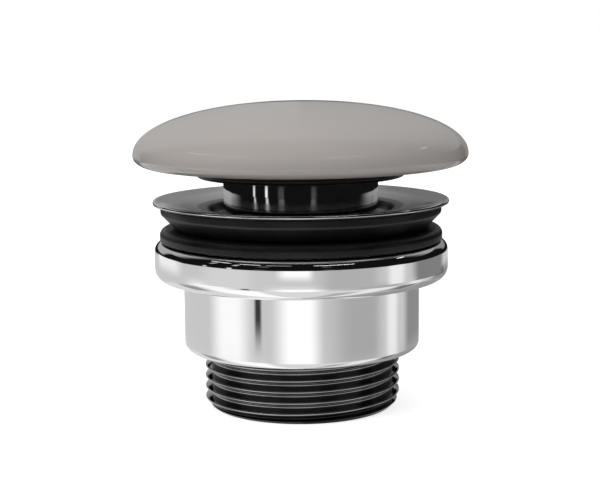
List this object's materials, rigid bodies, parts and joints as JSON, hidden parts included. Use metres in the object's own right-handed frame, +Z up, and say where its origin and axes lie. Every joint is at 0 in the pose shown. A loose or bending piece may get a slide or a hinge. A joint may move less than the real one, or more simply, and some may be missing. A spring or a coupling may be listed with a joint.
{
  "type": "free-flow basin waste",
  "caption": "Always-open basin waste: a glazed pebble cap raised over a dished chrome flange, a threaded tail, two gaskets and a round back nut.",
  "frame": {"origin": "middle of the tail's end face, the lowest point of the part", "axes": "+Z up along the thread's axis, from the tail to the cap; the part is round about it, and +X and +Y lie midway between the arms of the cast cross"},
  "size_m": [0.071, 0.071, 0.065],
  "materials": {
    "glazed_cap": "silky warm grey glaze",
    "bond": "cured silicone",
    "chrome": "bright chrome plate on brass",
    "black_plastic": "satin moulded",
    "steel": "plain",
    "brass": "turned",
    "seal_rubber": "satin",
    "gasket_rubber": "matte moulded",
    "slip_plastic": "smooth"
  },
  "bodies": {
    "waste": {"waste_body": "chrome", "upper_gasket": "gasket_rubber"},
    "gasket_stack": {"lower_gasket": "gasket_rubber", "slip_washer": "slip_plastic"},
    "nut": {"back_nut": "chrome"},
    "cap": {"ceramic_cap": "glazed_cap", "bond_ring": "bond", "cap_plate": "black_plastic", "neck_sleeve": "chrome", "stem_screw": "steel", "cap_stem": "brass", "upper_seal": "seal_rubber", "lower_seal": "seal_rubber"}
  },
  "joints": [
    {"name": "nut_travel", "type": "slide", "parent": "waste", "child": "gasket_stack", "axis": [0, 0, 1], "range_m": [-0.01154, 0]},
    {"name": "nut_turn", "type": "hinge", "parent": "gasket_stack", "child": "nut", "pos_m": [0, 0, 0.024], "axis": [0, 0, 1], "range_deg": [-1800, 0]},
    {"name": "cap_lift", "type": "slide", "parent": "waste", "child": "cap", "axis": [0, 0, 1], "range_m": [0, 0.014]}
  ],
  "couplings": [
    {"joint": "nut_travel", "follows": "nut_turn", "m_per_rad": 0.00036749}
  ]
}
